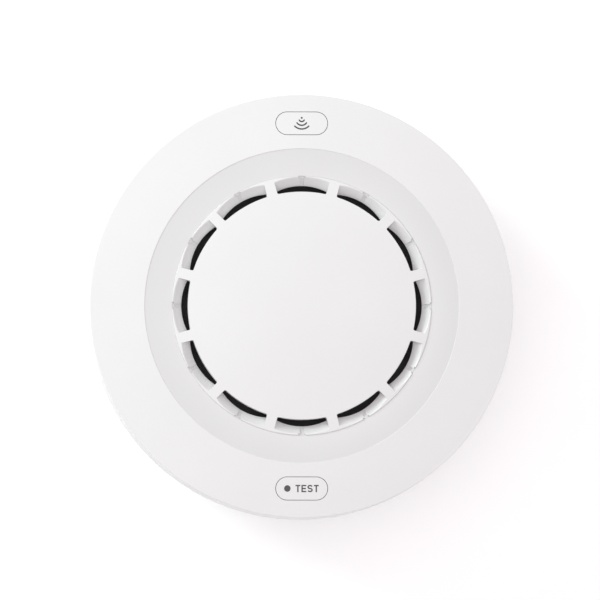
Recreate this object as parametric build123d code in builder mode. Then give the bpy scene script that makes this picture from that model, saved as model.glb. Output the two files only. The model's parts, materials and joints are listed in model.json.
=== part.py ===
from build123d import *
import math
import os

# A battery-powered wireless smoke detector that twists onto a mounting bracket.
# Millimetres. The origin is the centre of the bracket's back face. +Z points away from the
# ceiling or wall into the room, +Y to the pairing button and -Y to the test button.

# ---- driving dimensions: outer form ----
cover_radius = 60.0
crest_radius = 44.6
hat_radius = 36.8
disc_radius = 32.3
slot_count = 12
rib_width = 3.0
button_length = 14.9
button_width = 6.7
button_offset = 51.8
button_gap = 0.15

# ---- driving dimensions: heights above the mounting surface ----
bracket_thickness = 2.0
bracket_height = 8.0
pan_back = 5.0
shelf_back = 9.0
shelf_top = 11.0
parting_height = 16.0
skirt_bottom = 16.3
board_bottom = 19.2
dish_height = 35.48
crest_height = 35.6
hat_top = 38.2

# ---- walls and fits ----
wall = 1.8
cover_wall = 2.0
board_thickness = 1.6
board_top = board_bottom + board_thickness
running_gap = 0.2

# ---- bayonet: three lugs on the head under three hooks on the bracket ----
bracket_radius = 50.5
bayonet_angles = (30, 150, 270)
hook_span = 16
lug_span = 15
unlock_turn = 18
stop_span = 3
stop_gap = 0.5
hook_radius = 44.2
lug_radius = 48.0
lug_top = 6.4
hook_bottom = 6.65

# ---- mounting bracket's ribs and holes ----
bracket_rib_radii = (36.0, 20.0)
bracket_rib_width = 1.2
bracket_rib_height = 1.0
bracket_chamfer = 0.8
cable_collar_radius = 7.5
cable_hole_radius = 5.5
screw_spacing = 56.0
screw_hole_radius = 2.25
screw_slot_sweep = 30

# ---- rear housing ----
pan_radius = 43.5
pan_floor = pan_back + wall
shelf_radius = 54.5
rim_radius = 59.2
spigot_radius = 57.4
spigot_top = 18.6
spigot_wall = 1.4
fixing_radius = 51.2
fixing_angles = (0, 120, 240)
fixing_boss_radius = 3.2
fixing_boss_top = 13.0
fixing_hole_radius = 1.5
fixing_recess_radius = 2.7
fixing_recess_depth = 2.2
board_post_ring = 38.0
board_post_angles = (0, 100, 180, 260)
board_post_radius = 2.6
board_pilot_radius = 1.15
board_pilot_depth = 8.0
housing_chamfer = 1.0
housing_rounding = 2.0
sound_slot_count = 5
sound_slot_pitch = 3.4
sound_slot_length = 17.0
sound_slot_width = 1.6
label_place = (-17.0, 27.5)
label_length = 22.0
label_width = 12.0
label_thickness = 0.15

# ---- screws ----
board_screw_radius = 1.05
board_screw_length = 7.0
board_screw_head_radius = 2.1
board_screw_head_height = 1.4
housing_screw_radius = 1.3
housing_screw_length = 10.0
housing_screw_head_radius = 2.4
housing_screw_head_height = 1.85
screw_head_rounding = 0.5
screw_cross_depth = 0.75
seat_gap = 0.02

# ---- battery compartment, under the +X half of the board ----
cell_radius = 5.25
cell_length = 44.5
nub_height = 0.8
nub_radius = 1.9
bay_x = 19.0
bay_width = 22.0
bay_length = 51.0
bay_wall = 1.2
bay_top = 17.8
cell_height = 12.2
cell_spacing = 10.8
contact_thickness = 0.4
contact_width = 9.4
spring_radius = 3.0
spring_pitch = 1.25
spring_wire_radius = 0.3
end_gap = 0.05
cell_rounding = 0.5

# ---- battery door, with the lips that its tongues slide under ----
door_travel = 8.0
door_thickness = 1.4
door_length = 26.6
door_width = 50.2
recess_width = 53.2
recess_floor = pan_floor
rail_length = 5.5
rail_offsets = (-8.0, 6.0)
rail_depth = 1.2
rail_thickness = 0.7
tongue_reach = 1.2
tongue_thickness = 0.65
door_rounding = 1.5
front_door_gap = 0.3
back_door_gap = 0.4
grip_offset = 6.0
ridge_count = 5
ridge_pitch = 1.8
ridge_length = 14.0
ridge_width = 0.9
ridge_height = 0.35
arrow_radius = 3.2
arrow_depth = 0.4

# ---- smoke chamber ----
chamber_plate_radius = 36.4
chamber_plate_bottom = 22.6
chamber_plate_top = 24.4
chamber_kerb_height = 1.6
chamber_radius = 27.0
vane_inner_radius = 22.0
vane_count = 18
vane_length = 3.0
vane_thickness = 0.8
vane_slant = 40
chamber_lid_bottom = 31.4
chamber_lid_top = 32.6
optic_height = 27.8
optic_radius = 1.5
optic_length = 4.4
lens_rounding = 1.3
holder_ring = 20.3
holder_width = 6.4
holder_length = 6.6
emitter_angle = 180
receiver_angle = 315

# ---- leads of the two optical parts ----
lead_ring = 21.1
lead_half_pitch = 1.27
lead_half_angle = math.degrees(math.asin(lead_half_pitch / lead_ring))
lead_hole_radius = 0.5
lead_radius = 0.25

# ---- sounder, under the -X half of the board ----
sounder_x = -20.2
sounder_radius = 14.5
sounder_bottom = 7.0
sounder_top = 17.6
sounder_wall = 1.2
sounder_ledge = 3.0
sounder_mouth = 2.7
piezo_bottom = 13.0
piezo_thickness = 0.3
ceramic_radius = 9.5
ceramic_thickness = 0.25
pin_radius = 0.5

# ---- circuit board and what is soldered to it: places are (x, y) on the board ----
board_radius = 50.0
board_tongue_width = 16.0
board_tongue_length = 111.0
solder_gap = 0.05
module_place = (-18.0, 25.5)
module_length = 24.0
module_width = 16.0
module_thickness = 0.8
can_place = (-15.5, 25.5)
can_length = 17.0
can_width = 14.0
can_height = 2.2
controller_place = (-17.0, -24.5)
controller_size = 9.0
controller_height = 1.4
controller_lead_count = 8
controller_lead_pitch = 1.0
controller_lead_reach = 1.2
controller_lead_width = 0.4
controller_lead_height = 0.3
capacitor_place = (-30.5, -19.5)
capacitor_base = 6.8
capacitor_radius = 3.15
capacitor_height = 7.0
coil_place = (-5.0, -21.0)
coil_radius = 3.0
coil_flange_radius = 4.0
coil_flange_thickness = 1.2
coil_height = 7.2
chip_ring = 46.5
chip_angles = range(20, 80, 8)
chip_length = 1.6
chip_width = 0.8
chip_height = 0.5
led_height = 0.7

# ---- front cover ----
skirt_radius = 59.85
edge_height = 33.6
edge_rounding = 0.15
dome_height = 34.75
crest_rounding = 0.05
dish_crown = 0.07
hat_hole_radius = hat_radius + 0.01
post_bottom = fixing_boss_top + 0.1
post_radius = 3.0
pilot_radius = 1.35
pilot_depth = 9.0
pad_bottom = 32.3
pad_length = 19.0
pad_width = 9.8
clip_angles = (45, 135, 225, 315)
clip_span = 10
clip_hook_thickness = 0.8
pad_well_depth = 3.0
pad_wall_ends = 0.7
pad_wall_sides = 0.2
inner_rounding = 1.2

# ---- vent hat ----
hat_flange_radius = 41.0
hat_flange_bottom = 31.4
hat_flange_top = 33.0
hat_wall = 1.6
disc_thickness = 1.8
hat_edge_height = 35.7
hat_edge_rounding = 0.3
ring_underside = 32.3
rib_root_radius = 31.0
slot_corner = 0.45
scallop_centre = 18.42
scallop_lip_radius = 15.7
scallop_lip_height = 33.4
scallop_mouth_radius = 18.2
scallop_mouth_height = 35.75
scallop_bulge = 0.2
groove_width = 1.0
groove_depth = 0.3
notch_width = 2.0
notch_inner_radius = 36.3
notch_depth = 0.6
slot_pitch = 360 / slot_count

# ---- buttons, light and switches ----
light_x = -4.07
light_radius = 0.9
light_bottom = 23.0
switch_x = 1.4
switch_size = 6.0
switch_height = 3.5
stem_radius = 1.7
stem_sink = 1.2
switch_bore_depth = 2.2
switch_rounding = 0.4
button_lip_reach = 0.85
button_lip_top = pad_bottom - 0.2
button_lip_bottom = button_lip_top - 0.8


def save(piece, name):
    """Labels a finished piece and writes its STEP file."""
    piece.part.label = name
    export_step(piece.part, f"parts/{name}.step")


def ring_sector(inner, outer, middle, span):
    """Adds a flat ring sector about the origin, centred on the angle middle, to the open sketch."""
    start = middle - span / 2
    with BuildLine() as outline:
        inner_arc = CenterArc((0, 0), inner, start, span)
        outer_arc = CenterArc((0, 0), outer, start, span)
        Line(inner_arc @ 0, outer_arc @ 0)
        Line(inner_arc @ 1, outer_arc @ 1)
    make_face(outline.line.edges())


def inward_plane(angle, radius, height):
    """A plane at the given place whose normal points at the detector's axis."""
    turn = math.radians(angle)
    return Plane(
        origin=(radius * math.cos(turn), radius * math.sin(turn), height),
        x_dir=(-math.sin(turn), math.cos(turn), 0),
        z_dir=(-math.cos(turn), -math.sin(turn), 0),
    )


def on_ring(radius, angle):
    """The point on a ring about Z."""
    turn = math.radians(angle)
    return (radius * math.cos(turn), radius * math.sin(turn))


def around(radius, angles):
    """Sketch locations at these angles on a ring about Z."""
    return Locations(*(on_ring(radius, angle) for angle in angles))


def mounting_bracket():
    """Round plate with a rim, three bayonet hooks with their end stops, and its fixing holes."""
    rim_inner = bracket_radius - wall
    with BuildPart() as bracket:
        with BuildSketch(Plane.XZ):
            with BuildLine():
                Polyline(
                    (0, 0),
                    (bracket_radius - bracket_chamfer, 0),
                    (bracket_radius, bracket_chamfer),
                    (bracket_radius, bracket_height),
                    (rim_inner, bracket_height),
                    (rim_inner, bracket_thickness),
                    (0, bracket_thickness),
                    close=True,
                )
            make_face()
        revolve(axis=Axis.Z)
        with BuildSketch(Plane.XY.offset(hook_bottom)):
            for angle in bayonet_angles:
                ring_sector(hook_radius, rim_inner + wall / 2, angle, hook_span)
        extrude(amount=bracket_height - hook_bottom)
        locked_stop = -(lug_span + stop_span) / 2 - stop_gap
        open_stop = unlock_turn + (lug_span + stop_span) / 2 + stop_gap
        with BuildSketch(Plane.XY.offset(bracket_thickness / 2)):
            for angle in bayonet_angles:
                ring_sector(hook_radius, rim_inner + wall / 2, angle + locked_stop, stop_span)
                ring_sector(hook_radius, rim_inner + wall / 2, angle + open_stop, stop_span)
        extrude(amount=bracket_height - bracket_thickness / 2)
        with BuildSketch(Plane.XY.offset(bracket_thickness / 2)):
            for radius in bracket_rib_radii:
                Circle(radius)
                Circle(radius - bracket_rib_width, mode=Mode.SUBTRACT)
            Circle(cable_collar_radius)
        extrude(amount=bracket_thickness / 2 + bracket_rib_height)
        with BuildSketch():
            Circle(cable_hole_radius)
            with Locations((-screw_spacing / 2, 0), (screw_spacing / 2, 0)):
                Circle(screw_hole_radius)
            for middle in (90, 270):
                start = middle - screw_slot_sweep / 2
                SlotArc(CenterArc((0, 0), screw_spacing / 2, start, screw_slot_sweep), 2 * screw_hole_radius)
        extrude(amount=bracket_height, mode=Mode.SUBTRACT)
    save(bracket, "mounting_bracket")


def rear_housing():
    """Pan and shelf with the bayonet lugs, board posts, battery box, door recess and sound slots."""
    with BuildPart() as housing:
        with BuildSketch(Plane.XZ) as section:
            with BuildLine():
                Polyline(
                    (0, pan_back),
                    (pan_radius - housing_chamfer, pan_back),
                    (pan_radius, pan_back + housing_chamfer),
                    (pan_radius, shelf_back),
                    (shelf_radius, shelf_back),
                    (rim_radius, parting_height - housing_chamfer),
                    (rim_radius, parting_height),
                    (spigot_radius, parting_height),
                    (spigot_radius, spigot_top),
                    (spigot_radius - spigot_wall, spigot_top),
                    (spigot_radius - spigot_wall, parting_height - 1.5),
                    (shelf_radius - housing_chamfer, shelf_top),
                    (pan_radius - wall, shelf_top),
                    (pan_radius - wall, pan_floor),
                    (0, pan_floor),
                    close=True,
                )
            make_face()
            fillet(section.vertices().sort_by_distance((shelf_radius, shelf_back))[0], housing_rounding)
        revolve(axis=Axis.Z)

        # bayonet lugs
        with BuildSketch(Plane.XY.offset(pan_back)):
            for angle in bayonet_angles:
                ring_sector(pan_radius - 1.5, lug_radius, angle, lug_span)
        extrude(amount=lug_top - pan_back)

        # raised floor round the door recess
        recess_start = bay_x - door_length / 2 - door_travel - back_door_gap
        recess_end = bay_x + door_length / 2 + front_door_gap
        with BuildSketch(Plane.XY.offset(pan_back)):
            with Locations(((recess_start + recess_end) / 2, 0)):
                Rectangle(recess_end - recess_start + 2 * bay_wall, recess_width + 2 * bay_wall)
            Circle(pan_radius - wall / 2, mode=Mode.INTERSECT)
        extrude(amount=recess_floor + wall - pan_back)

        # battery box
        with BuildSketch(Plane.XY.offset(pan_floor)):
            with Locations((bay_x, 0)):
                Rectangle(bay_width + 2 * bay_wall, bay_length + 2 * bay_wall)
        extrude(amount=bay_top + bay_wall - pan_floor)
        with BuildSketch(Plane.XY.offset(pan_back)):
            with Locations((bay_x, 0)):
                Rectangle(bay_width, bay_length)
        extrude(amount=bay_top - pan_back, mode=Mode.SUBTRACT)

        # door recess, with lips over the door's tongues
        with BuildSketch(Plane.XY.offset(pan_back)):
            with Locations(((recess_start + recess_end) / 2, 0)):
                Rectangle(recess_end - recess_start, recess_width)
        extrude(amount=recess_floor - pan_back, mode=Mode.SUBTRACT)
        with BuildSketch(Plane.XY.offset(pan_back)):
            for offset_x in rail_offsets:
                with Locations((bay_x + offset_x, recess_width / 2), (bay_x + offset_x, -recess_width / 2)):
                    Rectangle(rail_length, 2 * rail_depth)
        extrude(amount=rail_thickness)

        # posts under the board
        with BuildSketch(Plane.XY.offset(pan_floor)):
            with around(board_post_ring, board_post_angles):
                Circle(board_post_radius)
        extrude(amount=board_bottom - pan_floor)
        with BuildSketch(Plane.XY.offset(board_bottom)):
            with around(board_post_ring, board_post_angles):
                Circle(board_pilot_radius)
        extrude(amount=-board_pilot_depth, mode=Mode.SUBTRACT)

        # bosses and counterbores for the housing screws
        with BuildSketch(Plane.XY.offset(shelf_back)):
            with around(fixing_radius, fixing_angles):
                Circle(fixing_boss_radius)
        extrude(amount=fixing_boss_top - shelf_back)
        with BuildSketch(Plane.XY.offset(shelf_back)):
            with around(fixing_radius, fixing_angles):
                Circle(fixing_recess_radius)
        extrude(amount=fixing_recess_depth, mode=Mode.SUBTRACT)
        with BuildSketch(Plane.XY.offset(shelf_back)):
            with around(fixing_radius, fixing_angles):
                Circle(fixing_hole_radius)
        extrude(amount=fixing_boss_top - shelf_back, mode=Mode.SUBTRACT)

        # sound slots under the sounder
        with BuildSketch(Plane.XY.offset(pan_back)):
            with Locations((sounder_x, 0)):
                with GridLocations(0, sound_slot_pitch, 1, sound_slot_count):
                    SlotOverall(sound_slot_length, sound_slot_width)
        extrude(amount=wall, mode=Mode.SUBTRACT)
    save(housing, "rear_housing")


def battery_cover():
    """Sliding door with side tongues, finger ridges and a recessed arrow."""
    door_bottom = recess_floor - running_gap - door_thickness
    with BuildPart() as door:
        with BuildSketch(Plane.XY.offset(door_bottom)):
            with Locations((bay_x, 0)):
                RectangleRounded(door_length, door_width, door_rounding)
        extrude(amount=door_thickness)
        with BuildSketch(Plane.XY.offset(door_bottom + door_thickness)):
            for offset_x in rail_offsets:
                with Locations((bay_x + offset_x, door_width / 2), (bay_x + offset_x, -door_width / 2)):
                    Rectangle(rail_length, 2 * tongue_reach)
        extrude(amount=-tongue_thickness)
        with BuildSketch(Plane.XY.offset(door_bottom)):
            with Locations((bay_x + grip_offset, 0)):
                with GridLocations(ridge_pitch, 0, ridge_count, 1):
                    SlotOverall(ridge_length, ridge_width, rotation=90)
        extrude(amount=-ridge_height)
        with BuildSketch(Plane.XY.offset(door_bottom)):
            with Locations((bay_x - grip_offset, 0)):
                RegularPolygon(arrow_radius, 3, rotation=180)
        extrude(amount=arrow_depth, mode=Mode.SUBTRACT)
    save(door, "battery_cover")


def rating_label():
    """Blank label on the head's back."""
    with BuildPart() as label:
        with BuildSketch(Plane.XY.offset(pan_back)):
            with Locations(label_place):
                RectangleRounded(label_length, label_width, 1.0)
        extrude(amount=-label_thickness)
    save(label, "rating_label")


def battery_cells():
    """Two round cells side by side, one each way round."""
    for number, side in ((1, 1), (2, -1)):
        cell_x = bay_x - side * cell_spacing / 2
        nub_end = side * (bay_length / 2 - contact_thickness - end_gap)
        start = nub_end - side * cell_length
        along = Plane(origin=(cell_x, start, cell_height), x_dir=(1, 0, 0), z_dir=(0, side, 0))
        with BuildPart() as cell:
            with BuildSketch(along):
                Circle(cell_radius)
            extrude(amount=cell_length - nub_height)
            fillet(cell.edges().filter_by(GeomType.CIRCLE), cell_rounding)
            with BuildSketch(along.offset(cell_length - nub_height)):
                Circle(nub_radius)
            extrude(amount=nub_height)
        save(cell, f"battery_cell_{number}")


def battery_contacts():
    """A bridge plate at one end of the bay and two single plates at the other."""
    plate_bottom = recess_floor + wall
    plate_top = bay_top - 2 * running_gap
    plate_z = (plate_bottom + plate_top) / 2
    plate_height = plate_top - plate_bottom
    end = bay_length / 2 - contact_thickness
    with BuildPart() as plates:
        with BuildSketch(Plane(origin=(bay_x, end, plate_z), x_dir=(1, 0, 0), z_dir=(0, 1, 0))):
            RectangleRounded(bay_width - 1.0, plate_height, 1.0)
        extrude(amount=contact_thickness)
        with BuildSketch(Plane(origin=(bay_x, -end, plate_z), x_dir=(1, 0, 0), z_dir=(0, -1, 0))):
            with GridLocations(cell_spacing, 0, 2, 1):
                RectangleRounded(contact_width, plate_height, 1.0)
        extrude(amount=contact_thickness)
    save(plates, "battery_contacts")


def battery_springs():
    """A coil spring at the flat end of each cell."""
    end = bay_length / 2 - contact_thickness
    free_length = bay_length - 2 * contact_thickness - cell_length
    with BuildPart() as springs:
        for side in (1, -1):
            spring_x = bay_x - side * cell_spacing / 2
            with BuildLine() as coil:
                Helix(
                    pitch=spring_pitch,
                    height=free_length - 2 * (spring_wire_radius + end_gap),
                    radius=spring_radius,
                    center=(spring_x, -side * (end - spring_wire_radius), cell_height),
                    direction=(0, side, 0),
                )
            with BuildSketch(coil.line ^ 0):
                Circle(spring_wire_radius)
            sweep(path=coil.line, is_frenet=True)
    save(springs, "battery_springs")


def lead_angles():
    """Where the four leads of the two optical parts stand on their ring."""
    return [
        angle + side * lead_half_angle
        for angle in (emitter_angle, receiver_angle)
        for side in (-1, 1)
    ]


def main_board():
    """Round circuit board with a tongue under each button."""
    with BuildPart() as board:
        with BuildSketch(Plane.XY.offset(board_bottom)):
            Circle(board_radius)
            Rectangle(board_tongue_width, board_tongue_length)
            with around(fixing_radius, fixing_angles):
                Circle(post_radius + 0.5, mode=Mode.SUBTRACT)
            with around(board_post_ring, board_post_angles):
                Circle(board_screw_radius + 0.25, mode=Mode.SUBTRACT)
            with around(lead_ring, lead_angles()):
                Circle(lead_hole_radius, mode=Mode.SUBTRACT)
        extrude(amount=board_thickness)
    save(board, "main_board")


def board_screws():
    """Four pan-head screws that hold the board on its posts."""
    seat = board_top + seat_gap
    with BuildPart() as screws:
        with BuildSketch(Plane.XY.offset(seat)):
            with around(board_post_ring, board_post_angles):
                Circle(board_screw_head_radius)
        extrude(amount=board_screw_head_height)
        fillet(screws.edges().group_by(Axis.Z)[-1], screw_head_rounding)
        with BuildSketch(Plane.XY.offset(seat)):
            with around(board_post_ring, board_post_angles):
                Circle(board_screw_radius)
        extrude(amount=-board_screw_length)
        with BuildSketch(Plane.XY.offset(seat + board_screw_head_height)):
            with around(board_post_ring, board_post_angles):
                Rectangle(2.2, 0.5)
                Rectangle(0.5, 2.2)
        extrude(amount=-screw_cross_depth, mode=Mode.SUBTRACT)
    save(screws, "board_screws")


def housing_screws():
    """Three pan-head screws from the back that hold the rear housing to the cover's posts."""
    head_face = shelf_back + fixing_recess_depth - housing_screw_head_height - 0.05
    with BuildPart() as screws:
        with BuildSketch(Plane.XY.offset(head_face)):
            with around(fixing_radius, fixing_angles):
                Circle(housing_screw_head_radius)
        extrude(amount=housing_screw_head_height)
        fillet(screws.edges().group_by(Axis.Z)[0], screw_head_rounding)
        with BuildSketch(Plane.XY.offset(head_face + 1.0)):
            with around(fixing_radius, fixing_angles):
                Circle(housing_screw_radius)
        extrude(amount=housing_screw_length)
        with BuildSketch(Plane.XY.offset(head_face)):
            with around(fixing_radius, fixing_angles):
                Rectangle(2.6, 0.6)
                Rectangle(0.6, 2.6)
        extrude(amount=screw_cross_depth, mode=Mode.SUBTRACT)
    save(screws, "housing_screws")


def flange_dome():
    """Adds the flange's gently domed line, from its outer corner to the crest's, to the open outline."""
    ThreePointArc(
        (cover_radius, edge_height),
        (button_offset, dome_height),
        (crest_radius, crest_height),
    )


def under_the_dome():
    """Everything below the flange's domed face, solid to the axis."""
    with BuildPart() as envelope:
        with BuildSketch(Plane.XZ):
            with BuildLine():
                flange_dome()
                Polyline(
                    (crest_radius, crest_height),
                    (0, crest_height),
                    (0, board_top),
                    (cover_radius, board_top),
                    (cover_radius, edge_height),
                )
            make_face()
        revolve(axis=Axis.Z)
    return envelope


def front_cover():
    """Skirt, domed flange and dish in one shell, with button openings, screw posts and snap hooks."""
    inner_skirt = cover_radius - cover_wall
    dish_underside = dish_height - cover_wall
    with BuildPart() as cover:
        with BuildSketch(Plane.XZ) as section:
            with BuildLine():
                flange_dome()
                Line((crest_radius, crest_height), (crest_radius, dish_height))
                ThreePointArc(
                    (crest_radius, dish_height),
                    ((crest_radius + hat_hole_radius) / 2, dish_height + dish_crown),
                    (hat_hole_radius, dish_height),
                )
                Polyline(
                    (hat_hole_radius, dish_height),
                    (hat_hole_radius, dish_underside),
                    (crest_radius, dish_underside),
                    (crest_radius + cover_wall, crest_height - cover_wall),
                )
                ThreePointArc(
                    (crest_radius + cover_wall, crest_height - cover_wall),
                    (button_offset, dome_height - cover_wall),
                    (inner_skirt, edge_height - cover_wall),
                )
                Polyline(
                    (inner_skirt, edge_height - cover_wall),
                    (skirt_radius - cover_wall, skirt_bottom),
                    (skirt_radius, skirt_bottom),
                    (cover_radius, edge_height),
                )
            make_face()
            for corner, rounding in (
                ((cover_radius, edge_height), edge_rounding),
                ((crest_radius, crest_height), crest_rounding),
                ((crest_radius, dish_height), crest_rounding),
                ((inner_skirt, edge_height - cover_wall), inner_rounding),
            ):
                fillet(section.vertices().sort_by_distance(corner)[0], rounding)
        revolve(axis=Axis.Z)

        # thick pads round the button openings
        with BuildSketch(Plane.XY.offset(pad_bottom)):
            with Locations((0, button_offset), (0, -button_offset)):
                SlotOverall(pad_length, pad_width)
        extrude(amount=edge_height - pad_bottom)
        with BuildSketch(Plane.XY.offset(pad_bottom)):
            with Locations((0, button_offset), (0, -button_offset)):
                SlotOverall(pad_length - 2 * pad_wall_ends, pad_width - 2 * pad_wall_sides)
        extrude(amount=-pad_well_depth, mode=Mode.SUBTRACT)
        with BuildSketch(Plane.XY.offset(pad_bottom)):
            with Locations((0, button_offset), (0, -button_offset)):
                SlotOverall(button_length, button_width)
        extrude(amount=crest_height - pad_bottom, mode=Mode.SUBTRACT)

        # posts for the housing screws
        with BuildSketch(Plane.XY.offset(post_bottom)):
            with around(fixing_radius, fixing_angles):
                Circle(post_radius)
        extrude(amount=edge_height - 0.2 - post_bottom)
        with BuildSketch(Plane.XY.offset(post_bottom)):
            with around(fixing_radius, fixing_angles):
                Circle(pilot_radius)
        extrude(amount=pilot_depth, mode=Mode.SUBTRACT)

        # snap hooks under the dish for the hat's flange
        with BuildSketch(Plane.XY.offset(hat_flange_bottom - 1.0)):
            for angle in clip_angles:
                ring_sector(hat_flange_radius + 0.3, hat_flange_radius + 1.5, angle, clip_span)
        extrude(amount=dish_underside + 0.4 - hat_flange_bottom + 1.0)
        with BuildSketch(Plane.XY.offset(hat_flange_bottom - 1.0)):
            for angle in clip_angles:
                ring_sector(hat_flange_radius - 0.5, hat_flange_radius + 0.5, angle, clip_span)
        extrude(amount=clip_hook_thickness)
    save(cover, "front_cover")


def crown_arc(depth, reach):
    """Adds the hat's crown line, depth millimetres below its face, from reach in to the axis."""
    rise = hat_top - hat_edge_height
    crown = (hat_radius**2 + rise**2) / (2 * rise)
    edge_angle = math.degrees(math.acos(reach / (crown - depth)))
    return CenterArc((0, hat_top - crown), crown - depth, edge_angle, 90 - edge_angle)


def scallop():
    """What is taken out between two ribs, on +X: a pocket with a rounded wall and the slot at its foot."""
    foot = ring_underside - 1.0
    half_angle = math.radians(slot_pitch / 2)
    apex = rib_width / 2 / math.sin(half_angle)
    spread = (cover_radius - apex) * math.tan(half_angle)
    with BuildPart() as pocket:
        with BuildSketch(Plane(origin=(scallop_centre, 0, 0), x_dir=(1, 0, 0), z_dir=(0, -1, 0))):
            with BuildLine():
                SagittaArc(
                    (scallop_lip_radius, scallop_lip_height),
                    (scallop_mouth_radius, scallop_mouth_height),
                    scallop_bulge,
                )
                Polyline(
                    (scallop_lip_radius, scallop_lip_height),
                    (scallop_lip_radius, foot),
                    (0, foot),
                    (0, hat_top),
                    (scallop_mouth_radius, hat_top),
                    (scallop_mouth_radius, scallop_mouth_height),
                )
            make_face()
        revolve(axis=Axis((scallop_centre, 0, 0), (0, 0, 1)))
        with BuildSketch(Plane.XY.offset(foot)) as bay:
            with BuildLine():
                Polyline((apex, 0), (cover_radius, spread), (cover_radius, -spread), close=True)
            make_face()
            Circle(disc_radius, mode=Mode.SUBTRACT)
            fillet(bay.vertices().group_by(Axis.X)[0], slot_corner)
        extrude(amount=hat_top - foot, mode=Mode.INTERSECT)
    return pocket


def drain_channel():
    """What is taken out at the middle of a pocket: a narrow groove down its wall, and a notch at the ring."""
    lip = scallop_centre + scallop_lip_radius
    inside = lip - running_gap
    notch_floor = hat_edge_height - notch_depth
    with BuildPart() as channel:
        with BuildSketch(Plane.XZ):
            with BuildLine():
                Polyline(
                    (inside, scallop_lip_height - groove_depth),
                    (lip, scallop_lip_height - groove_depth),
                    (notch_inner_radius, notch_floor),
                    (notch_inner_radius, hat_top),
                    (inside, hat_top),
                    close=True,
                )
            make_face()
        extrude(amount=groove_width / 2, both=True)
        with BuildSketch(Plane.XY.offset(notch_floor)):
            with Locations(((notch_inner_radius + hat_hole_radius) / 2, 0)):
                Rectangle(hat_hole_radius - notch_inner_radius, notch_width)
        extrude(amount=hat_top - notch_floor)
    return channel


def vent_hat():
    """Crowned disc, ribs, scalloped ring, skirt and retaining flange, moulded as one piece."""
    pocket = scallop()
    channel = drain_channel()
    with BuildPart() as hat:
        with BuildSketch(Plane.XZ) as section:
            with BuildLine() as outline:
                crown_arc(0, hat_radius)
                underside = crown_arc(disc_thickness, rib_root_radius)
                Line((0, hat_top), underside @ 1)
                Polyline(
                    underside @ 0,
                    (rib_root_radius, ring_underside),
                    (hat_radius - hat_wall, ring_underside),
                    (hat_radius - hat_wall, hat_flange_bottom),
                    (hat_flange_radius, hat_flange_bottom),
                    (hat_flange_radius, hat_flange_top),
                    (hat_radius, hat_flange_top),
                    (hat_radius, hat_edge_height),
                )
            make_face()
            fillet(section.vertices().sort_by_distance((hat_radius, hat_edge_height))[0], hat_edge_rounding)
        revolve(axis=Axis.Z)
        with PolarLocations(0, slot_count):
            add(pocket.part, mode=Mode.SUBTRACT)
            add(channel.part, mode=Mode.SUBTRACT)
    save(hat, "vent_hat")


def chamber_base():
    """Black plate under the hat with a foot ring and the two optical holders."""
    with BuildPart() as base:
        with BuildSketch(Plane.XY.offset(chamber_plate_bottom)):
            Circle(chamber_plate_radius)
            with around(lead_ring, lead_angles()):
                Circle(lead_hole_radius, mode=Mode.SUBTRACT)
        extrude(amount=chamber_plate_top - chamber_plate_bottom)
        with BuildSketch(Plane.XY.offset(chamber_plate_top)):
            Circle(chamber_plate_radius)
            Circle(chamber_plate_radius - 1.0, mode=Mode.SUBTRACT)
        extrude(amount=chamber_kerb_height)
        with BuildSketch(Plane.XY.offset(board_top)):
            Circle(chamber_radius)
            Circle(chamber_radius - 1.6, mode=Mode.SUBTRACT)
        extrude(amount=chamber_plate_bottom - board_top)
        for angle in (emitter_angle, receiver_angle):
            holder = inward_plane(angle, holder_ring, optic_height)
            with BuildSketch(holder):
                Rectangle(holder_width, 2 * (optic_height - chamber_plate_top))
            extrude(amount=holder_length)
            with BuildSketch(holder):
                Circle(optic_radius + 0.05)
            extrude(amount=holder_length, mode=Mode.SUBTRACT)
    save(base, "chamber_base")


def chamber_cover():
    """Black labyrinth cap: a lid with a ring of angled vanes that let smoke in and keep light out."""
    vane_bottom = chamber_plate_top + running_gap
    with BuildPart() as labyrinth:
        with BuildSketch(Plane.XY.offset(chamber_lid_bottom)):
            Circle(chamber_radius)
        extrude(amount=chamber_lid_top - chamber_lid_bottom)
        with BuildSketch(Plane.XY.offset(vane_bottom)):
            for index in range(vane_count):
                angle = index * 360 / vane_count
                inner_place = (*on_ring(vane_inner_radius + 1.2, angle), 0)
                outer_place = (*on_ring(vane_inner_radius + 3.0, angle + 0.7), 0)
                with Locations(Location(inner_place, angle + vane_slant)):
                    Rectangle(vane_length, vane_thickness)
                with Locations(Location(outer_place, angle - vane_slant)):
                    Rectangle(vane_length, vane_thickness)
        extrude(amount=chamber_lid_bottom - vane_bottom)
    save(labyrinth, "chamber_cover")


def insect_screen():
    """The band that the fine mesh round the chamber fills."""
    with BuildPart() as screen:
        with BuildSketch(Plane.XY.offset(chamber_plate_top + 0.05)):
            Circle(chamber_radius + 0.7)
            Circle(chamber_radius + 0.3, mode=Mode.SUBTRACT)
        extrude(amount=chamber_lid_top - chamber_plate_top - 0.1)
    save(screen, "insect_screen")


def optical_part(name, angle, lens_round):
    """An infrared emitter or receiver in its holder, with its two leads down to the board."""
    with BuildPart() as optic:
        back = inward_plane(angle, 20.75, optic_height)
        with BuildSketch(back):
            Circle(optic_radius + 0.4)
        extrude(amount=0.4)
        with BuildSketch(back):
            Circle(optic_radius)
        extrude(amount=optic_length)
        if lens_round:
            rims = optic.edges().filter_by(GeomType.CIRCLE)
            fillet(rims.sort_by_distance((0, 0, optic_height))[0], lens_rounding)
        for side in (-1, 1):
            with BuildSketch(Plane.XY.offset(board_top + 0.1)):
                with Locations(on_ring(lead_ring, angle + side * lead_half_angle)):
                    Circle(lead_radius)
            extrude(amount=optic_height - board_top + 0.15)
            with BuildSketch(inward_plane(angle, lead_ring, optic_height)):
                with Locations((-side * lead_half_pitch, 0)):
                    Rectangle(0.4, 0.4)
            extrude(amount=0.5)
    save(optic, name)


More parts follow.
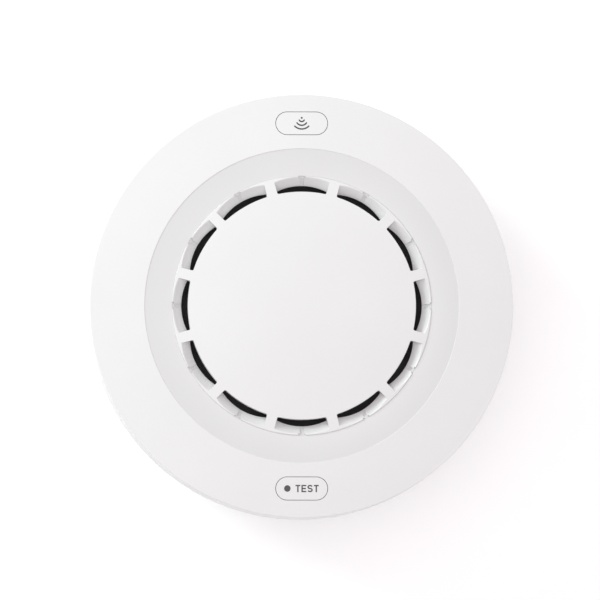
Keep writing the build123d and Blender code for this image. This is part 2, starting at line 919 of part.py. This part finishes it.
def sounder_housing():
    """Round sounder case: open towards the sound slots, with a ledge that the piezo disc sits on."""
    side_on = Plane(origin=(sounder_x, 0, 0), x_dir=(1, 0, 0), z_dir=(0, -1, 0))
    with BuildPart() as case:
        with BuildSketch(side_on):
            with BuildLine():
                Polyline(
                    (sounder_radius - sounder_ledge, sounder_bottom),
                    (sounder_radius, sounder_bottom),
                    (sounder_radius, sounder_top),
                    (sounder_radius - sounder_mouth, sounder_top),
                    (sounder_radius - sounder_mouth, sounder_top - sounder_wall),
                    (sounder_radius - sounder_wall, sounder_top - sounder_wall),
                    (sounder_radius - sounder_wall, piezo_bottom),
                    (sounder_radius - sounder_ledge, piezo_bottom),
                    close=True,
                )
            make_face()
        revolve(axis=Axis((sounder_x, 0, 0), (0, 0, 1)))
    save(case, "sounder_housing")


def piezo_element():
    """Brass disc with the smaller ceramic disc on it, and the three pins that press on them."""
    with BuildPart() as disc:
        with BuildSketch(Plane.XY.offset(piezo_bottom + 0.05)):
            with Locations((sounder_x, 0)):
                Circle(sounder_radius - sounder_wall - running_gap)
        extrude(amount=piezo_thickness)
    save(disc, "piezo_disc")
    with BuildPart() as ceramic:
        with BuildSketch(Plane.XY.offset(piezo_bottom + 0.05 + piezo_thickness)):
            with Locations((sounder_x, 0)):
                Circle(ceramic_radius)
        extrude(amount=ceramic_thickness)
    save(ceramic, "piezo_ceramic")
    with BuildPart() as pins:
        for offset_x, pin_bottom in ((0.0, 0.6), (6.0, 0.6), (-10.8, 0.35)):
            with BuildSketch(Plane.XY.offset(piezo_bottom + pin_bottom + seat_gap)):
                with Locations((sounder_x + offset_x, 0)):
                    Circle(pin_radius)
            extrude(amount=board_bottom - piezo_bottom - pin_bottom - 2 * seat_gap)
    save(pins, "sounder_pins")


def board_components():
    """What is soldered to the board's two faces apart from the switches and optics."""
    underside = board_bottom - solder_gap
    with BuildPart() as module:
        with BuildSketch(Plane.XY.offset(underside)):
            with Locations(module_place):
                Rectangle(module_length, module_width)
        extrude(amount=-module_thickness)
    save(module, "wireless_module")
    with BuildPart() as can:
        with BuildSketch(Plane.XY.offset(underside - module_thickness - solder_gap)):
            with Locations(can_place):
                RectangleRounded(can_length, can_width, 0.6)
        extrude(amount=-can_height)
    save(can, "wireless_module_can")
    with BuildPart() as controller:
        with BuildSketch(Plane.XY.offset(underside - controller_lead_height / 3)):
            with Locations(controller_place):
                Rectangle(controller_size, controller_size)
        extrude(amount=-controller_height)
        lead_span = controller_size + 2 * controller_lead_reach
        with BuildSketch(Plane.XY.offset(underside)):
            with Locations(controller_place):
                with GridLocations(controller_lead_pitch, 0, controller_lead_count, 1):
                    Rectangle(controller_lead_width, lead_span)
                with GridLocations(0, controller_lead_pitch, 1, controller_lead_count):
                    Rectangle(lead_span, controller_lead_width)
        extrude(amount=-controller_lead_height)
    save(controller, "microcontroller")
    with BuildPart() as capacitor:
        with BuildSketch(Plane.XY.offset(underside)):
            with Locations(capacitor_place):
                Rectangle(capacitor_base, capacitor_base)
        extrude(amount=-0.8)
        with BuildSketch(Plane.XY.offset(underside)):
            with Locations(capacitor_place):
                Circle(capacitor_radius)
        extrude(amount=-capacitor_height)
        fillet(capacitor.edges().group_by(Axis.Z)[0], 0.4)
    save(capacitor, "capacitor")
    with BuildPart() as coil:
        with BuildSketch(Plane.XY.offset(underside)):
            with Locations(coil_place):
                Circle(coil_radius)
        extrude(amount=-coil_height)
        for flange_top in (underside, underside - coil_height + coil_flange_thickness):
            with BuildSketch(Plane.XY.offset(flange_top)):
                with Locations(coil_place):
                    Circle(coil_flange_radius)
            extrude(amount=-coil_flange_thickness)
    save(coil, "sounder_coil")
    with BuildPart() as chips:
        with BuildSketch(Plane.XY.offset(board_top)):
            for angle in chip_angles:
                for side in (0, 180):
                    with Locations(Location((*on_ring(chip_ring, angle + side), 0), angle)):
                        Rectangle(chip_width, chip_length)
        extrude(amount=chip_height)
    save(chips, "chip_components")
    with BuildPart() as led:
        with BuildSketch(Plane.XY.offset(board_top)):
            with Locations((light_x, -button_offset)):
                Rectangle(chip_length, chip_width)
        extrude(amount=led_height)
    save(led, "status_led")


def button_cap(name, side, with_light):
    """Push button: a stadium cap whose face follows the flange, on a wider retaining lip."""
    envelope = under_the_dome()
    with BuildPart() as cap:
        with BuildSketch(Plane.XY.offset(button_lip_bottom)):
            with Locations((0, side * button_offset)):
                SlotOverall(button_length - 2 * button_gap, button_width - 2 * button_gap)
        extrude(amount=crest_height - button_lip_bottom)
        add(envelope.part, mode=Mode.INTERSECT)
        with BuildSketch(Plane.XY.offset(button_lip_bottom)):
            with Locations((0, side * button_offset)):
                SlotOverall(button_length + 2 * button_lip_reach, button_width + 2 * button_lip_reach)
        extrude(amount=button_lip_top - button_lip_bottom)
        if with_light:
            with BuildSketch(Plane.XY.offset(button_lip_bottom)):
                with Locations((light_x, side * button_offset)):
                    Circle(light_radius + 0.02)
            extrude(amount=crest_height - button_lip_bottom, mode=Mode.SUBTRACT)
    save(cap, name)


def status_light_lens():
    """Tinted light guide pressed through the test button, flush with its face."""
    envelope = under_the_dome()
    with BuildPart() as lens:
        with BuildSketch(Plane.XY.offset(light_bottom)):
            with Locations((light_x, -button_offset)):
                Circle(light_radius)
        extrude(amount=crest_height - light_bottom)
        add(envelope.part, mode=Mode.INTERSECT)
    save(lens, "status_light_lens")


def push_switch(name, switch_place_x, side):
    """Board-mounted push switch: a square body and the stem that the button presses."""
    place = (switch_place_x, side * button_offset)
    with BuildPart() as body:
        with BuildSketch(Plane.XY.offset(board_top)):
            with Locations(place):
                RectangleRounded(switch_size, switch_size, switch_rounding)
        extrude(amount=switch_height)
        with BuildSketch(Plane.XY.offset(board_top + switch_height)):
            with Locations(place):
                Circle(stem_radius + 0.1)
        extrude(amount=-switch_bore_depth, mode=Mode.SUBTRACT)
    save(body, f"{name}_switch")
    stem_bottom = board_top + switch_height - stem_sink
    with BuildPart() as stem:
        with BuildSketch(Plane.XY.offset(stem_bottom)):
            with Locations(place):
                Circle(stem_radius)
        extrude(amount=button_lip_bottom - seat_gap - stem_bottom)
    save(stem, f"{name}_switch_stem")


os.makedirs("parts", exist_ok=True)
mounting_bracket()
rear_housing()
battery_cover()
rating_label()
battery_cells()
battery_contacts()
battery_springs()
main_board()
board_screws()
housing_screws()
front_cover()
vent_hat()
chamber_base()
chamber_cover()
insect_screen()
optical_part("infrared_emitter", emitter_angle, True)
optical_part("photodiode", receiver_angle, False)
sounder_housing()
piezo_element()
board_components()
button_cap("test_button", -1, True)
button_cap("pairing_button", 1, False)
status_light_lens()
push_switch("test", switch_x, -1)
push_switch("pairing", 0.0, 1)
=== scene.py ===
import json
import math

import bmesh
import bpy
from mathutils import Matrix, Vector


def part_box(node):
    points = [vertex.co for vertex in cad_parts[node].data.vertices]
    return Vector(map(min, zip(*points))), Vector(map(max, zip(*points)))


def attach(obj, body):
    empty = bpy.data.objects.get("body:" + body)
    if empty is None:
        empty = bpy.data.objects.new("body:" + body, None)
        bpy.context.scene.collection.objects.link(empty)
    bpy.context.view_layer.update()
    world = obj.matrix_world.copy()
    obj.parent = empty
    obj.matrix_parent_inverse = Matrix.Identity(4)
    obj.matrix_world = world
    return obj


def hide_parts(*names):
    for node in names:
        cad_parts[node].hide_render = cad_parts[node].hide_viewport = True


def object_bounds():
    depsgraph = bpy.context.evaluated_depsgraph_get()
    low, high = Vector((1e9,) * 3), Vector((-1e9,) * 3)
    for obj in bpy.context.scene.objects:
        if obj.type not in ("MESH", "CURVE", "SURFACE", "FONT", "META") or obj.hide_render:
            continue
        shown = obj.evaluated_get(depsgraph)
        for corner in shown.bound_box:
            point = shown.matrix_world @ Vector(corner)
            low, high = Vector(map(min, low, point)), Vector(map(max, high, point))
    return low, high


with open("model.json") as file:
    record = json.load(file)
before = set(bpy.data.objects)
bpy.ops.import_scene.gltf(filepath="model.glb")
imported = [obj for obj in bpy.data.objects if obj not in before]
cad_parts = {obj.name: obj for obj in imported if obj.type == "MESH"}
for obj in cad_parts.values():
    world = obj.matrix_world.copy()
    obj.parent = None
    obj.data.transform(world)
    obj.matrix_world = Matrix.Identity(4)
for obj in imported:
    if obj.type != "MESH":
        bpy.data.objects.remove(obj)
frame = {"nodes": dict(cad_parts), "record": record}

cad_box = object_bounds()
nodes = frame["nodes"]
MM = 0.001
dish_radius = 44.58 * MM
disc_radius = 32.35 * MM
hat_radius = 36.8 * MM
hat_rise = 2.5 * MM
hat_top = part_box("vent_hat")[1][2]
# Full shade: the colour that the painted shade on the dish and in the pockets is mixed towards.
painted_shade_dark = (0.0, 0.0, 0.0, 1.0)


# ---------------------------------------------------------------- shader graph helper

class Graph:
    """One material's node tree, with short calls that add nodes and join them."""

    def __init__(self, name):
        self.material = bpy.data.materials.new(name)
        self.material.use_nodes = True
        self.tree = self.material.node_tree
        self.tree.nodes.clear()

    def add(self, kind, inputs=None, **settings):
        """Adds a node. A value in inputs is a number, a colour or another node's output socket."""
        node = self.tree.nodes.new(kind)
        for key, value in settings.items():
            setattr(node, key, value)
        for key, value in (inputs or {}).items():
            if isinstance(value, bpy.types.NodeSocket):
                self.tree.links.new(value, node.inputs[key])
            else:
                node.inputs[key].default_value = value
        return node

    def position(self):
        """The place on the object, in metres in the shared frame at rest."""
        return self.add("ShaderNodeTexCoord").outputs["Object"]

    def math(self, operation, first, second):
        """One arithmetic step."""
        return self.add("ShaderNodeMath", {0: first, 1: second}, operation=operation).outputs[0]

    def radius(self):
        """The distance from the detector's axis."""
        across = {0: self.position(), 1: (1.0, 1.0, 0.0)}
        flat = self.add("ShaderNodeVectorMath", across, operation="MULTIPLY")
        return self.add("ShaderNodeVectorMath", {0: flat.outputs[0]}, operation="LENGTH").outputs["Value"]

    def noise(self, per_mm, detail=3.0, roughness=0.55):
        """A noise value from 0 to 1 with the given number of cells to a millimetre."""
        inputs = {
            "Vector": self.position(),
            "Scale": per_mm / MM,
            "Detail": detail,
            "Roughness": roughness,
        }
        return self.add("ShaderNodeTexNoise", inputs).outputs["Fac"]

    def spread(self, value, low, high, from_low=0.3, from_high=0.7):
        """Maps a value's usual stretch onto low to high, clamped."""
        inputs = {
            "Value": value,
            "From Min": from_low,
            "From Max": from_high,
            "To Min": low,
            "To Max": high,
        }
        return self.add("ShaderNodeMapRange", inputs).outputs["Result"]

    def mix(self, factor, first, second):
        """Mixes two colours. The mix node's colour sockets are inputs 6 and 7, and output 2."""
        return self.add("ShaderNodeMix", {0: factor, 6: first, 7: second}, data_type="RGBA").outputs[2]

    def bump(self, height, distance, strength=1.0, normal=None):
        """A bump of the given depth in metres."""
        inputs = {"Height": height, "Distance": distance, "Strength": strength}
        if normal is not None:
            inputs["Normal"] = normal
        return self.add("ShaderNodeBump", inputs).outputs["Normal"]

    def finish(self, **inputs):
        """Ends the material with a Principled surface that has these inputs."""
        named = {key.replace("_", " "): value for key, value in inputs.items()}
        surface = self.add("ShaderNodeBsdfPrincipled", named)
        self.add("ShaderNodeOutputMaterial", {"Surface": surface.outputs["BSDF"]})
        return self.material


def shade(colour, factor):
    """The colour made lighter or darker, with full alpha."""
    return (*(channel * factor for channel in colour), 1.0)


# ---------------------------------------------------------------- materials

# How far moulded plastic's painted shade in corners reaches, and the warm greyish tone it darkens towards.
corner_shade_reach = 1.6 * MM
corner_shade_colour = (0.42, 0.41, 0.39)


def dish_painted_shade(graph, body):
    """Painted shade on the dish, deepening towards the flange's step; it also stands for the dish's
    coarser grain, taken to look greyer than the polished flange and hat.
    """
    radius = graph.radius()
    inside = graph.math("LESS_THAN", radius, dish_radius)
    painted_grey = graph.spread(radius, 0.07, 0.115, hat_radius, dish_radius)
    return graph.mix(graph.math("MULTIPLY", inside, painted_grey), body, painted_shade_dark)


def pocket_painted_shade(graph, body):
    """Painted shade in the pockets between the ribs: outside the disc, darker the further below the hat's
    crown.
    """
    radius = graph.radius()
    height = graph.add("ShaderNodeSeparateXYZ", {0: graph.position()}).outputs["Z"]
    outward = graph.math("DIVIDE", radius, hat_radius)
    drop = graph.math("MULTIPLY", graph.math("MULTIPLY", outward, outward), hat_rise)
    depth = graph.math("SUBTRACT", graph.math("SUBTRACT", hat_top, drop), height)
    painted_grey = graph.spread(depth, 0.0, 0.09, 0.08 * MM, 0.3 * MM)
    outside = graph.math("GREATER_THAN", radius, disc_radius)
    return graph.mix(graph.math("MULTIPLY", outside, painted_grey), body, painted_shade_dark)


def moulded_plastic(
    name, colour, roughness=0.42, grain_depth=0.006, edge_radius=0.18, corner_shade=0.03, paint_shade=None
):
    """Moulded ABS: a fine spark-eroded grain, slow flow marks, softened edges and painted shade in
    corners.

    The grain's depth and the edges' radius are in millimetres. An optional step paints shade onto part of
    the body.
    """
    graph = Graph(name)
    flow = graph.noise(0.035, detail=2.0)
    speckle = graph.noise(1.6, detail=4.0)
    body = graph.mix(graph.spread(flow, 0.0, 1.0), shade(colour, 0.985), shade(colour, 1.01))
    body = graph.mix(graph.spread(speckle, 0.0, 0.35), body, shade(colour, 0.965))
    # Painted shade: the body darkens towards a warm greyish tone where the ambient occlusion node finds
    # corners and recesses.
    openness = graph.add("ShaderNodeAmbientOcclusion", {"Distance": corner_shade_reach}, samples=8).outputs["AO"]
    body = graph.mix(graph.spread(openness, corner_shade, 0.0, 0.15, 0.75), body, shade(corner_shade_colour, 1.0))
    # Painted shade on one part of the body, where a shading step is given.
    if paint_shade:
        body = paint_shade(graph, body)
    rounded = graph.add("ShaderNodeBevel", {"Radius": edge_radius * MM}, samples=6).outputs["Normal"]
    wavy = graph.bump(graph.noise(0.09, detail=1.0), 0.05 * MM, 0.5, rounded)
    grain = graph.bump(graph.noise(3.2, detail=3.0, roughness=0.6), grain_depth * MM, 1.0, wavy)
    scatter = graph.spread(graph.noise(0.4), roughness - 0.05, roughness + 0.06)
    return graph.finish(
        Base_Color=body,
        Roughness=scatter,
        Normal=grain,
        IOR=1.52,
        Specular_IOR_Level=0.5,
    )


def metal(name, colour, roughness=0.3, along=(1.0, 1.0, 1.0)):
    """Plated or rolled metal with fine drawing marks and faint tarnish."""
    graph = Graph(name)
    stretched = graph.add(
        "ShaderNodeMapping", {"Vector": graph.position(), "Scale": along}, vector_type="TEXTURE"
    ).outputs["Vector"]
    marks = graph.add(
        "ShaderNodeTexNoise", {"Vector": stretched, "Scale": 2.5 / MM, "Detail": 4.0}
    ).outputs["Fac"]
    tarnish = graph.noise(0.25, detail=4.0)
    body = graph.mix(graph.spread(tarnish, 0.0, 0.5), shade(colour, 1.0), shade(colour, 0.72))
    return graph.finish(
        Base_Color=body,
        Metallic=1.0,
        Roughness=graph.spread(marks, roughness - 0.08, roughness + 0.12),
        Normal=graph.bump(marks, 0.004 * MM),
    )


def circuit_board(name):
    """Green solder mask over the faint squares of a glass weave."""
    graph = Graph(name)
    weave = graph.add(
        "ShaderNodeTexVoronoi", {"Vector": graph.position(), "Scale": 0.45 / MM}, distance="CHEBYCHEV"
    ).outputs["Distance"]
    dark_green, light_green = (0.012, 0.10, 0.035, 1.0), (0.02, 0.17, 0.06, 1.0)
    return graph.finish(
        Base_Color=graph.mix(graph.spread(weave, 0.0, 1.0, 0.35, 0.42), dark_green, light_green),
        Roughness=graph.spread(graph.noise(0.8), 0.25, 0.4),
        Normal=graph.bump(weave, 0.02 * MM, 0.6),
    )


def epoxy(name, colour, roughness=0.25, coat=0.0):
    """Cast or moulded epoxy, or a printed sleeve, with faint clouding and scuffs."""
    graph = Graph(name)
    cloud = graph.noise(0.6, detail=3.0)
    scuff = graph.noise(4.0, detail=4.0)
    return graph.finish(
        Base_Color=graph.mix(graph.spread(cloud, 0.0, 1.0), shade(colour, 0.85), shade(colour, 1.12)),
        Roughness=graph.spread(scuff, roughness - 0.05, roughness + 0.1),
        Normal=graph.bump(scuff, 0.003 * MM),
        Coat_Weight=coat,
    )


def ink(name, colour):
    """Pad-printed ink: slightly uneven in density, with a soft sheen."""
    graph = Graph(name)
    density = graph.noise(2.4, detail=4.0)
    return graph.finish(
        Base_Color=graph.mix(graph.spread(density, 0.0, 1.0), shade(colour, 0.85), shade(colour, 1.2)),
        Roughness=graph.spread(density, 0.45, 0.6),
        Normal=graph.bump(density, 0.004 * MM),
    )


shell_white = (0.826, 0.826, 0.826)
materials = {
    # The cover and the hat carry painted shade: on the dish, and in the pockets between the ribs.
    "cover_plastic": moulded_plastic("cover_plastic", shell_white, edge_radius=0.1, paint_shade=dish_painted_shade),
    "hat_plastic": moulded_plastic("hat_plastic", shell_white, edge_radius=0.1, paint_shade=pocket_painted_shade),
    "button_plastic": moulded_plastic("button_plastic", shell_white, edge_radius=0.1),
    "housing_plastic": moulded_plastic("housing_plastic", (0.80, 0.795, 0.79), 0.5, 0.012),
    "bracket_plastic": moulded_plastic("bracket_plastic", (0.79, 0.785, 0.775), 0.52, 0.014),
    "door_plastic": moulded_plastic("door_plastic", (0.80, 0.795, 0.79), 0.5, 0.012),
    "label_film": epoxy("label_film", (0.70, 0.70, 0.69), 0.4),
    "cell_wrap": epoxy("cell_wrap", (0.05, 0.14, 0.32), 0.3, 0.3),
    "nickel_strip": metal("nickel_strip", (0.62, 0.60, 0.56), 0.28),
    "circuit_board": circuit_board("circuit_board"),
    "screw_steel": metal("screw_steel", (0.58, 0.58, 0.57), 0.35),
    "chamber_plastic": moulded_plastic("chamber_plastic", (0.09, 0.09, 0.092), 0.55, 0.01, 0.15, 0.0),
    "screen_wire": metal("screen_wire", (0.06, 0.06, 0.06), 0.42),
    "emitter_epoxy": epoxy("emitter_epoxy", (0.10, 0.13, 0.35), 0.12),
    "photodiode_epoxy": epoxy("photodiode_epoxy", (0.02, 0.015, 0.03), 0.12),
    "sounder_plastic": moulded_plastic("sounder_plastic", (0.02, 0.02, 0.02), 0.5, 0.01, 0.15, 0.0),
    "piezo_brass": metal("piezo_brass", (0.72, 0.50, 0.20), 0.3),
    "piezo_ceramic": epoxy("piezo_ceramic", (0.62, 0.60, 0.56), 0.4),
    "can_steel": metal("can_steel", (0.66, 0.66, 0.65), 0.25),
    "component_epoxy": epoxy("component_epoxy", (0.018, 0.018, 0.018), 0.45),
    "capacitor_sleeve": epoxy("capacitor_sleeve", (0.03, 0.03, 0.05), 0.3, 0.3),
    "coil_copper": metal("coil_copper", (0.50, 0.20, 0.08), 0.3, (1.0, 1.0, 0.1)),
    "led_epoxy": epoxy("led_epoxy", (0.75, 0.68, 0.45), 0.15),
    "light_guide": epoxy("light_guide", (0.05, 0.044, 0.043), 0.18, 0.5),
    "switch_body": moulded_plastic("switch_body", (0.03, 0.03, 0.03), 0.5, 0.008, 0.1, 0.0),
    "switch_stem": moulded_plastic("switch_stem", (0.10, 0.10, 0.10), 0.5, 0.008, 0.1, 0.0),
}
print_ink = ink("print_ink", (0.062, 0.062, 0.064))

for part in frame["record"]["subparts"]:
    mesh = nodes[part["node"]].data
    mesh.materials.clear()
    mesh.materials.append(materials[part["material_slot"]])


# ---------------------------------------------------------------- printed marks on the buttons

ink_height = 0.03 * MM
ink_sunk = 0.05 * MM
above_all = 0.1


def centre(node):
    """The middle of a node's box."""
    low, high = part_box(node)
    return (Vector(low) + Vector(high)) / 2


def face_height(node, x, y):
    """The height of the button's face above the point x, y."""
    hit, place, _, _ = nodes[node].ray_cast(Vector((x, y, above_all)), Vector((0, 0, -1)))
    return place.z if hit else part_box(node)[1][2]


def printed(name, outlines, node, body, middle):
    """A thin layer of ink on a button. Outlines are closed loops in millimetres about middle."""
    shape = bmesh.new()
    for outline in outlines:
        top = []
        bottom = []
        for across, up in outline:
            x = middle[0] + across * MM
            y = middle[1] + up * MM
            z = face_height(node, x, y)
            top.append(shape.verts.new((x, y, z + ink_height)))
            bottom.append(shape.verts.new((x, y, z - ink_sunk)))
        shape.faces.new(top)
        shape.faces.new(bottom[::-1])
        for index in range(len(outline)):
            after = (index + 1) % len(outline)
            shape.faces.new((top[after], top[index], bottom[index], bottom[after]))
    bmesh.ops.recalc_face_normals(shape, faces=shape.faces)
    mesh = bpy.data.meshes.new(name)
    shape.to_mesh(mesh)
    shape.free()
    mesh.materials.append(print_ink)
    piece = bpy.data.objects.new(name, mesh)
    bpy.context.scene.collection.objects.link(piece)
    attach(piece, body)
    return piece


def along_arc(centre_y, radius, start, end, steps):
    """Points on an arc about (0, centre_y), from angle start to end in degrees."""
    points = []
    for step in range(steps + 1):
        turn = math.radians(start + (end - start) * step / steps)
        points.append((radius * math.cos(turn), centre_y + radius * math.sin(turn)))
    return points


def wave(centre_y, radius, half_angle, width, steps=24, end_steps=6):
    """The outline of a round-ended arc that hangs below (0, centre_y)."""
    right, left = 270 + half_angle, 270 - half_angle
    outline = along_arc(centre_y, radius + width / 2, left, right, steps)
    for middle, start in ((right, right), (left, left + 180)):
        turn = math.radians(middle)
        end_x, end_y = radius * math.cos(turn), centre_y + radius * math.sin(turn)
        rounding = along_arc(0, width / 2, start, start + 180, end_steps)[1:-1]
        outline += [(end_x + x, end_y + y) for x, y in rounding]
        if middle == right:
            outline += along_arc(centre_y, radius - width / 2, right, left, steps)
    return outline


# Plain block capitals, each drawn up from its left foot.
cap_height = 2.04
stroke = 0.36
letter_widths = {"T": 1.36, "E": 1.36, "S": 1.5}
letter_gap = 0.33
word_gap = 1.4


def letter_t(left, width):
    stem = left + width / 2
    bar = cap_height - stroke
    return [
        (left, cap_height),
        (left, bar),
        (stem - stroke / 2, bar),
        (stem - stroke / 2, 0),
        (stem + stroke / 2, 0),
        (stem + stroke / 2, bar),
        (left + width, bar),
        (left + width, cap_height),
    ]


def letter_e(left, width):
    right = left + width
    stem = left + stroke
    low, high = (cap_height - stroke) / 2, (cap_height + stroke) / 2
    return [
        (left, 0),
        (left, cap_height),
        (right, cap_height),
        (right, cap_height - stroke),
        (stem, cap_height - stroke),
        (stem, high),
        (right - stroke / 3, high),
        (right - stroke / 3, low),
        (stem, low),
        (stem, stroke),
        (right, stroke),
        (right, 0),
    ]


def letter_s(left, width, steps=16, sweep=250):
    """Two elliptical bowls joined in the middle, drawn as a line and then given its stroke."""
    middle = left + width / 2
    across = (width - stroke) / 2
    up = (cap_height - stroke) / 4
    line = []
    for step in range(steps + 1):
        turn = math.radians(270 - sweep + sweep * step / steps)
        line.append((middle + across * math.cos(turn), cap_height - stroke / 2 - up + up * math.sin(turn)))
    for step in range(1, steps + 1):
        turn = math.radians(90 - sweep * step / steps)
        line.append((middle + across * math.cos(turn), stroke / 2 + up + up * math.sin(turn)))
    first_side = []
    second_side = []
    for index, (x, y) in enumerate(line):
        before = Vector(line[max(index - 1, 0)])
        after = Vector(line[min(index + 1, len(line) - 1)])
        side = (after - before).normalized().orthogonal() * stroke / 2
        first_side.append((x + side.x, y + side.y))
        second_side.append((x - side.x, y - side.y))
    return first_side + second_side[::-1]


def word_outlines(left):
    """The generic word TEST, from left, centred on the button's long axis."""
    shapes = {"T": letter_t, "E": letter_e, "S": letter_s}
    outlines = []
    for letter in "TEST":
        width = letter_widths[letter]
        outlines.append([(x, y - cap_height / 2) for x, y in shapes[letter](left, width)])
        left += width + letter_gap
    return outlines


test_middle = centre("test_button")
light_right = (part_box("status_light_lens")[1][0] - test_middle.x) / MM
printed("test_word", word_outlines(light_right + word_gap), "test_button", "test_key", test_middle)

# The wireless sign: a dot, and waves given by the height of their centre, radius and half angle.
dot_height = 1.57
dot_radius = 0.28
dot_sides = 24
wave_width = 0.4
wave_arcs = ((1.29, 0.79, 62), (1.04, 1.61, 56), (1.18, 2.8, 45))

last_side = 360 - 360 / dot_sides
sign = [along_arc(dot_height, dot_radius, 0, last_side, dot_sides - 1)]
for centre_y, radius, half_angle in wave_arcs:
    sign.append(wave(centre_y, radius, half_angle, wave_width))
printed("wireless_symbol", sign, "pairing_button", "pairing_key", centre("pairing_button"))


# ---------------------------------------------------------------- woven insect screen

def wire_tube(shape, points, wire, closed):
    """Adds a four-sided wire of the given radius through points, as a loop if it is closed."""
    rings = []
    count = len(points)
    for index, point in enumerate(points):
        before = points[index - 1] if (closed or index) else point
        after = points[(index + 1) % count] if (closed or index < count - 1) else point
        along = (after - before).normalized()
        out = Vector((point.x, point.y, 0)).normalized()
        side = along.cross(out).normalized()
        ring = []
        for corner in range(4):
            turn = math.pi * corner / 2
            ring.append(shape.verts.new(point + (out * math.cos(turn) + side * math.sin(turn)) * wire))
        rings.append(ring)
    for index in range(count if closed else count - 1):
        first, second = rings[index], rings[(index + 1) % count]
        for corner in range(4):
            after = (corner + 1) % 4
            shape.faces.new((first[corner], first[after], second[after], second[corner]))
    if not closed:
        shape.faces.new(rings[0])
        shape.faces.new(rings[-1][::-1])


def woven_screen():
    """Fine wire mesh round the chamber: wavy upright wires and hoops that pass over and under."""
    low, high = (Vector(corner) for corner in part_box("insect_screen"))
    inset = 0.2 * MM
    margin = 0.15 * MM
    pitch = 0.95 * MM
    wire = 0.11 * MM
    radius = (high.x - low.x) / 2 - inset
    bottom, top = low.z + margin, high.z - margin
    uprights = 2 * round(math.pi * radius / pitch)
    hoops = round((top - bottom) / pitch)
    shape = bmesh.new()
    for upright in range(uprights):
        turn = 2 * math.pi * upright / uprights
        points = []
        for level in range(hoops + 1):
            reach = radius + (wire if (upright + level) % 2 else -wire)
            height = bottom + (top - bottom) * level / hoops
            points.append(Vector((reach * math.cos(turn), reach * math.sin(turn), height)))
        wire_tube(shape, points, wire, closed=False)
    for level in range(hoops + 1):
        height = bottom + (top - bottom) * level / hoops
        points = []
        for upright in range(uprights):
            turn = 2 * math.pi * upright / uprights
            reach = radius + (-wire if (upright + level) % 2 else wire)
            points.append(Vector((reach * math.cos(turn), reach * math.sin(turn), height)))
        wire_tube(shape, points, wire, closed=True)
    bmesh.ops.recalc_face_normals(shape, faces=shape.faces)
    mesh = bpy.data.meshes.new("woven_screen")
    shape.to_mesh(mesh)
    shape.free()
    mesh.materials.append(materials["screen_wire"])
    for polygon in mesh.polygons:
        polygon.use_smooth = True
    piece = bpy.data.objects.new("woven_screen", mesh)
    bpy.context.scene.collection.objects.link(piece)
    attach(piece, "head")
    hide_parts("insect_screen")


woven_screen()


# ---------------------------------------------------------------- floor, light and camera

room_tint = (1.0, 0.955, 0.972)
room_strength = 0.42
floor_reach = 6.0
floor_gap = 0.2 * MM
floor_glow = 0.2

# A softbox has a place, a point that it faces, a side in metres, a power in watts and a tint.
softboxes = {
    "overhead": ((0, 0, 1.6), (0, 0, 0), 3.0, 25.4, room_tint),
    "key": ((-1.076, 0.758, 0.51), (0, 0, 0.03), 0.6, 10.6, (0.86, 1.0, 0.96)),
}


def floor():
    """A plain white sheet under the object, with a faint glow of its own."""
    mesh = bpy.data.meshes.new("floor")
    ends = ((-1, -1), (1, -1), (1, 1), (-1, 1))
    corners = [(floor_reach * x, floor_reach * y, 0) for x, y in ends]
    mesh.from_pydata(corners, [], [(0, 1, 2, 3)])
    graph = Graph("floor_paper")
    tone = graph.spread(graph.noise(0.02), 0.0, 1.0)
    mesh.materials.append(graph.finish(
        Base_Color=graph.mix(tone, (0.92, 0.92, 0.92, 1.0), (0.94, 0.94, 0.94, 1.0)),
        Roughness=0.9,
        Emission_Color=(1.0, 1.0, 1.0, 1.0),
        Emission_Strength=floor_glow,
    ))
    sheet = bpy.data.objects.new("floor", mesh)
    sheet.location.z = cad_box[0][2] - floor_gap
    bpy.context.scene.collection.objects.link(sheet)


def softbox(name, place, aim, size, power, tint):
    """A square area light at place that faces aim."""
    lamp = bpy.data.lights.new(name, "AREA")
    lamp.size = size
    lamp.energy = power
    lamp.color = tint
    box = bpy.data.objects.new(name, lamp)
    box.location = place
    box.rotation_euler = (Vector(aim) - Vector(place)).to_track_quat("-Z", "Y").to_euler()
    bpy.context.scene.collection.objects.link(box)


def studio():
    """Pale surroundings, a wide softbox overhead and a small one low on the upper left."""
    world = bpy.data.worlds.new("studio")
    world.use_nodes = True
    background = world.node_tree.nodes["Background"]
    background.inputs["Color"].default_value = (*room_tint, 1.0)
    background.inputs["Strength"].default_value = room_strength
    bpy.context.scene.world = world
    for name, settings in softboxes.items():
        softbox(name, *settings)
    bpy.context.scene.view_settings.view_transform = "Standard"


def camera():
    """Looks straight down at the front, a little from the test button's side, through a very long lens."""
    low, high = (Vector(corner) for corner in cad_box)
    flange = Vector(((low.x + high.x) / 2, (low.y + high.y) / 2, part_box("front_cover")[1][2]))
    off_centre = Vector((-0.53 * MM, 1.6 * MM, 0))
    target = flange + off_centre
    towards = Vector((-0.045, -0.058, 1.0)).normalized()
    lens = 1200.0
    sensor = 36.0
    view_width = 169.9 * MM
    data = bpy.data.cameras.new("camera")
    data.lens = lens
    data.sensor_width = sensor
    data.clip_start = 0.5
    data.clip_end = 50.0
    eye = bpy.data.objects.new("camera", data)
    right = Vector((0, 1, 0)).cross(towards).normalized()
    up = towards.cross(right)
    facing = Matrix((right, up, towards)).transposed().to_4x4()
    distance = view_width * lens / sensor
    eye.matrix_world = Matrix.Translation(target + towards * distance) @ facing
    bpy.context.scene.collection.objects.link(eye)
    bpy.context.scene.camera = eye


floor()
studio()
camera()
